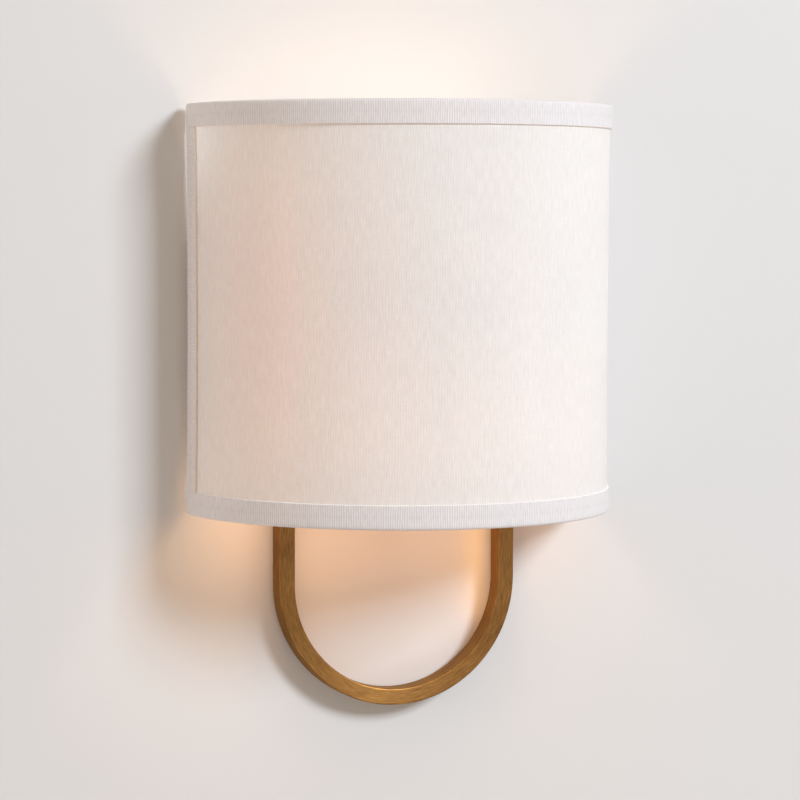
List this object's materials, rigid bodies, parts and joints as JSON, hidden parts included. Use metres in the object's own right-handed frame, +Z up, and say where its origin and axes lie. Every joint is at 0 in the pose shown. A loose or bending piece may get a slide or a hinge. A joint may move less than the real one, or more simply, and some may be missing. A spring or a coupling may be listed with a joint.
{
  "type": "fabric shade wall light",
  "caption": "Half-drum fabric shade on a brass wiring pan, over an upright candelabra socket, with a U-shaped brass hoop of rectangular bar hanging below the shade.",
  "frame": {"origin": "centre of the outlet box, on the wall's surface", "axes": "+X to the right seen from the room, +Y into the wall, +Z up"},
  "size_m": [0.254, 0.132, 0.3508],
  "materials": {
    "zinc_steel": "zinc plated",
    "green_screw": "green chromate",
    "antique_brass": "brushed antique brass",
    "black_plastic": "moulded",
    "phenolic": "moulded phenolic",
    "contact_brass": "bright",
    "bulb_cap": "nickel plated brass",
    "black_glass": "glossy",
    "solder": "dull",
    "bulb_glass": "frosted",
    "stem_glass": "clear",
    "filament": "phosphor coated",
    "white_wire": "white powder coat",
    "styrene": "satin",
    "linen": "plain weave with slubs",
    "linen_tape": "ribbed self tape"
  },
  "bodies": {
    "fixture": {"mounting_strap": "zinc_steel", "mounting_studs": "zinc_steel", "stud_lock_nuts": "zinc_steel", "ground_screw": "green_screw", "backplate": "antique_brass", "wire_grommet": "black_plastic", "hoop": "antique_brass", "hoop_screws": "zinc_steel", "socket_bracket": "zinc_steel", "bracket_screws": "zinc_steel", "socket_nipple": "zinc_steel", "nipple_washer": "zinc_steel", "nipple_lock_nut": "zinc_steel", "nipple_bushing": "black_plastic", "socket_cup": "antique_brass", "socket_body": "phenolic", "socket_screw_shell": "contact_brass", "socket_centre_contact": "contact_brass", "shade_wire_top": "white_wire", "shade_wire_bottom": "white_wire", "shade_wire_left": "white_wire", "shade_wire_right": "white_wire", "fitter_strap_upper": "white_wire", "fitter_strap_lower": "white_wire", "shade_studs": "zinc_steel", "locating_pins": "zinc_steel", "shade_liner": "styrene", "shade_fabric": "linen", "tape_top": "linen_tape", "tape_bottom": "linen_tape", "tape_left": "linen_tape", "tape_right": "linen_tape"},
    "bulb": {"bulb_base": "bulb_cap", "bulb_insulator": "black_glass", "bulb_contact": "solder", "bulb_globe": "bulb_glass", "bulb_stem": "stem_glass", "bulb_filaments": "filament"},
    "cap_nut_left": {"cap_nut_left": "antique_brass"},
    "cap_nut_right": {"cap_nut_right": "antique_brass"},
    "thumb_nut_left": {"thumb_nut_left": "antique_brass"},
    "thumb_nut_right": {"thumb_nut_right": "antique_brass"}
  },
  "joints": [
    {"name": "bulb_turn", "type": "hinge", "parent": "fixture", "child": "bulb", "pos_m": [0, -0.068, -0.045], "axis": [0, 0, 1], "range_deg": [0, 900]},
    {"name": "cap_nut_left_turn", "type": "hinge", "parent": "fixture", "child": "cap_nut_left", "pos_m": [-0.02, -0.028, 0], "axis": [0, -1, 0], "continuous": true},
    {"name": "cap_nut_right_turn", "type": "hinge", "parent": "fixture", "child": "cap_nut_right", "pos_m": [0.02, -0.028, 0], "axis": [0, -1, 0], "continuous": true},
    {"name": "thumb_nut_left_turn", "type": "hinge", "parent": "fixture", "child": "thumb_nut_left", "pos_m": [-0.046, -0.029, 0.05], "axis": [0, -1, 0], "continuous": true},
    {"name": "thumb_nut_right_turn", "type": "hinge", "parent": "fixture", "child": "thumb_nut_right", "pos_m": [0.046, -0.029, 0.05], "axis": [0, -1, 0], "continuous": true}
  ]
}
